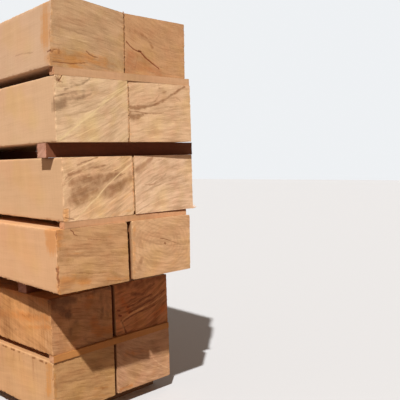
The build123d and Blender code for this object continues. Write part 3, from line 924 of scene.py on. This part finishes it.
beamPairs = ((beamOneLeft, beamOneRight), (beamTwoLeft, beamTwoRight), (beamThreeLeft, beamThreeRight),
             (beamFourLeft, beamFourRight), (beamFiveLeft, beamFiveRight), (beamSixLeft, beamSixRight))
for layer, pair in enumerate(beamPairs, 1):
    for side, look in zip(("left", "right"), pair):
        piece = sawnBeam(f"beam_{layer}_{side}", look)
        print(piece.name, len(piece.data.polygons), "faces")

# stickers and bearers
crossBasics = {
    **beamBasics, "wear": 2.2, "splinters": 8, "sawLean": 6, "saw": 0.04, "wood": paint(196, 146, 108),
    "contrast": 0.3, "side": paint(212, 158, 114), "sideContrast": 0.14,
    "grain": {"angle": 30, "bend": 0.0, "fan": 0.0},
}
topSticker = {"side": paint(201, 158, 118), "sideContrast": 0.22}
middleSticker = {
    "side": paint(203, 155, 114), "sideContrast": 0.3,
    # painted shadow: the vein and stain darken a line along the top of the front under beam_4_right, where
    # that beam's overhang shades it; the vein also cuts a shallow groove
    "sideMarks": {
        "vein": [(1.0, 11, 9, [(470, 36), (700, 36), (900, 36)])],
        "stain": [(0.8, 12, 10, [(470, 32), (900, 32)])],
    },
}
bottomSticker = {"side": paint(187, 128, 71), "sideContrast": 0.18}
# the bearers' long faces are painted dark brown: painted shade for the recess between the bundles where they
# lie
upperBearer = {
    "side": paint(120, 72, 48), "sideContrast": 0.2, "wear": 3.5, "splinters": 12,
    "wood": paint(190, 140, 116),
}
# the lower bearers' ends are painted darker: painted shade under the middle bundle's overhang
lowerBearer = {**upperBearer, "wood": paint(156, 108, 88)}
groundBearer = {"side": paint(164, 128, 98), "sideContrast": 0.22, "wear": 4, "wood": paint(160, 122, 92)}


def layRow(row, look, count=3):
    for number in range(1, count + 1):
        seed = 20 + number + 7 * len(row) + ord(row[0])  # a grain of its own for each piece
        crossPiece(f"{row}_{number}", {**look, "seed": seed})
    print(row, "row done")


layRow("top_sticker", topSticker)
layRow("middle_sticker", middleSticker)
layRow("bottom_sticker", bottomSticker)
layRow("upper_bearer", upperBearer)
layRow("lower_bearer", lowerBearer)
layRow("ground_bearer", groundBearer)

# floor, light and camera
stage = {
    "floorSize": 60, "floorShown": 0.62, "floorBounce": (0.31, 0.222, 0.182, 1),
    "backdrop": (0.86, 0.88, 0.90, 1), "lowFill": (0.055, 0.038, 0.029, 1), "highFill": (0.3, 0.24, 0.2, 1),
    "keyStrength": 4.8, "keySoftness": 1.2, "towardsKey": (-1.11, -1.0, 1.62),
}

bm = bmesh.new()
bmesh.ops.create_grid(bm, x_segments=1, y_segments=1, size=stage["floorSize"] / 2)
floorMesh = bpy.data.meshes.new("floor")
bm.to_mesh(floorMesh)
bm.free()
floor = bpy.data.objects.new("floor", floorMesh)
bpy.context.scene.collection.objects.link(floor)
material, tree, shader = newWood("floor_paint")
seen = seenDirectly(tree)
shown = stage["floorShown"]
tree.links.new(mixed(tree, seen, stage["floorBounce"], (shown, shown, shown, 1)), shader.inputs["Base Color"])
shader.inputs["Roughness"].default_value = 0.9
floorMesh.materials.append(material)

world = bpy.data.worlds.new("studio")
bpy.context.scene.world = world
world.use_nodes = True
tree = world.node_tree
back = tree.nodes["Background"]
seen = seenDirectly(tree)
height = node(tree, "SeparateXYZ", {0: node(tree, "TexCoord").outputs["Generated"]}).outputs[2]
fill = mixed(tree, stretch(tree, height, 0.0, 0.9), stage["lowFill"], stage["highFill"])  # brighter above
tree.links.new(mixed(tree, seen, fill, stage["backdrop"]), back.inputs["Color"])

key = bpy.data.lights.new("key", "SUN")
key.energy, key.angle = stage["keyStrength"], radians(stage["keySoftness"])
keyLamp = bpy.data.objects.new("key", key)
keyLamp.rotation_euler = Vector(stage["towardsKey"]).to_track_quat("Z", "Y").to_euler()
bpy.context.scene.collection.objects.link(keyLamp)

view = {"eye": (-2.0539, -4.7832, 1.5771), "yaw": 43.95, "pitch": -4.02, "roll": -1.63, "lens": 52.71}
yaw, pitch, roll = (radians(view[turn]) for turn in ("yaw", "pitch", "roll"))
forward = Vector((sin(yaw) * cos(pitch), cos(yaw) * cos(pitch), sin(pitch)))
level = forward.cross(Vector((0, 0, 1))).normalized()
right = cos(roll) * level + sin(roll) * level.cross(forward)
camera = bpy.data.objects.new("camera", bpy.data.cameras.new("camera"))
camera.data.lens, camera.data.sensor_width = view["lens"], 36
facing = Matrix((right, right.cross(forward), -forward)).transposed().to_4x4()
camera.matrix_world = Matrix.Translation(view["eye"]) @ facing
bpy.context.scene.collection.objects.link(camera)
bpy.context.scene.camera = camera
bpy.context.scene.view_settings.view_transform = "Standard"
print("floor, light and camera made")
